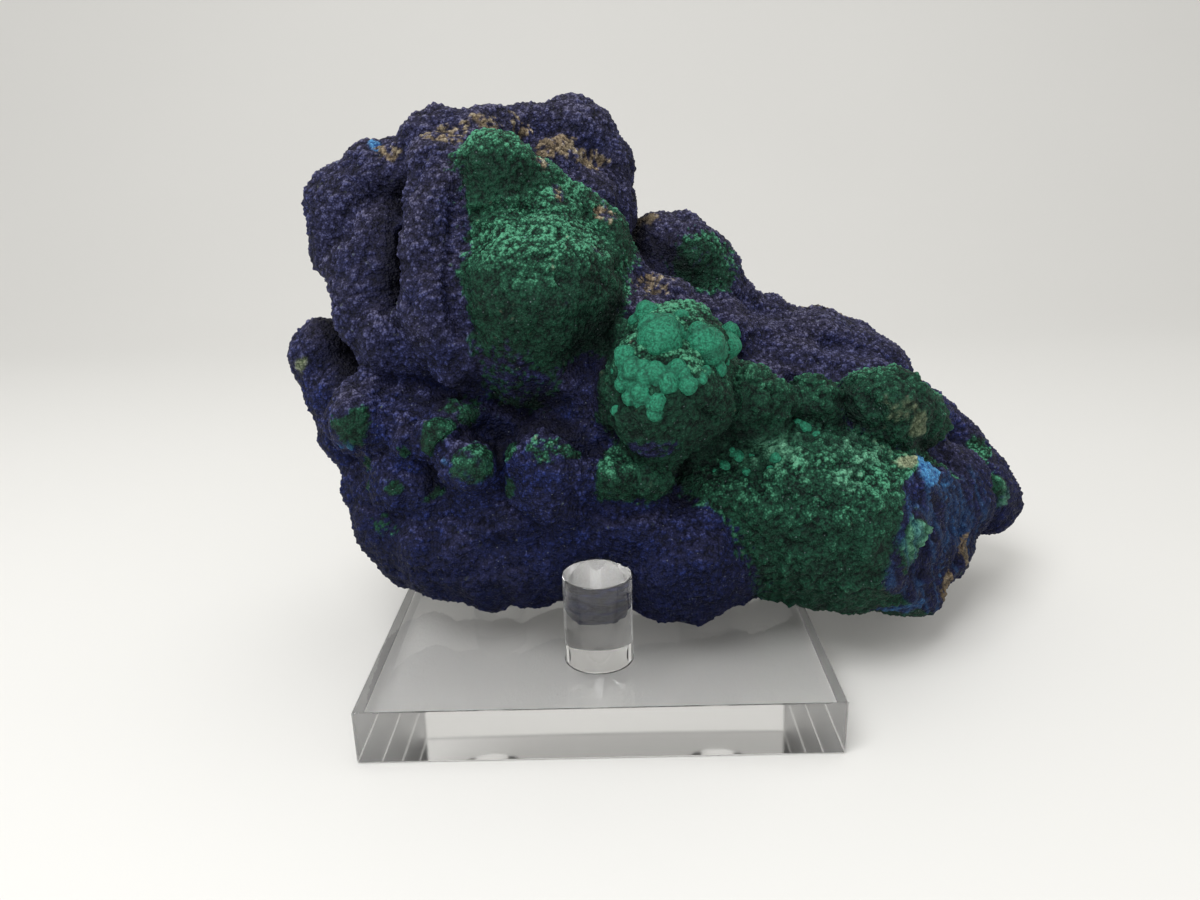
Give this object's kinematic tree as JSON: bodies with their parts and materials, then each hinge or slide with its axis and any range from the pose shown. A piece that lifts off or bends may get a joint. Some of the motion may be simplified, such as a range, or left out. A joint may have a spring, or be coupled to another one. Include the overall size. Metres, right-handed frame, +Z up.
{
  "type": "azurite specimen",
  "caption": "Botryoidal azurite and malachite specimen resting on a clear acrylic slab stand with pegs.",
  "frame": {"origin": "middle of the underside of the stand's slab, where it rests on the table", "axes": "+Z up, +X to the right along the specimen's length as seen from the front, -Y towards the viewer in front"},
  "size_m": [0.193, 0.1, 0.1322],
  "materials": {
    "azurite_malachite": "velvety fine crystals, deep blue azurite with green malachite and a tan matrix",
    "clear_acrylic": "clear, polished"
  },
  "bodies": {
    "root": {"azurite_specimen": "azurite_malachite", "stand_base": "clear_acrylic", "front_peg": "clear_acrylic", "back_peg_left": "clear_acrylic", "back_peg_right": "clear_acrylic"}
  },
  "joints": []
}
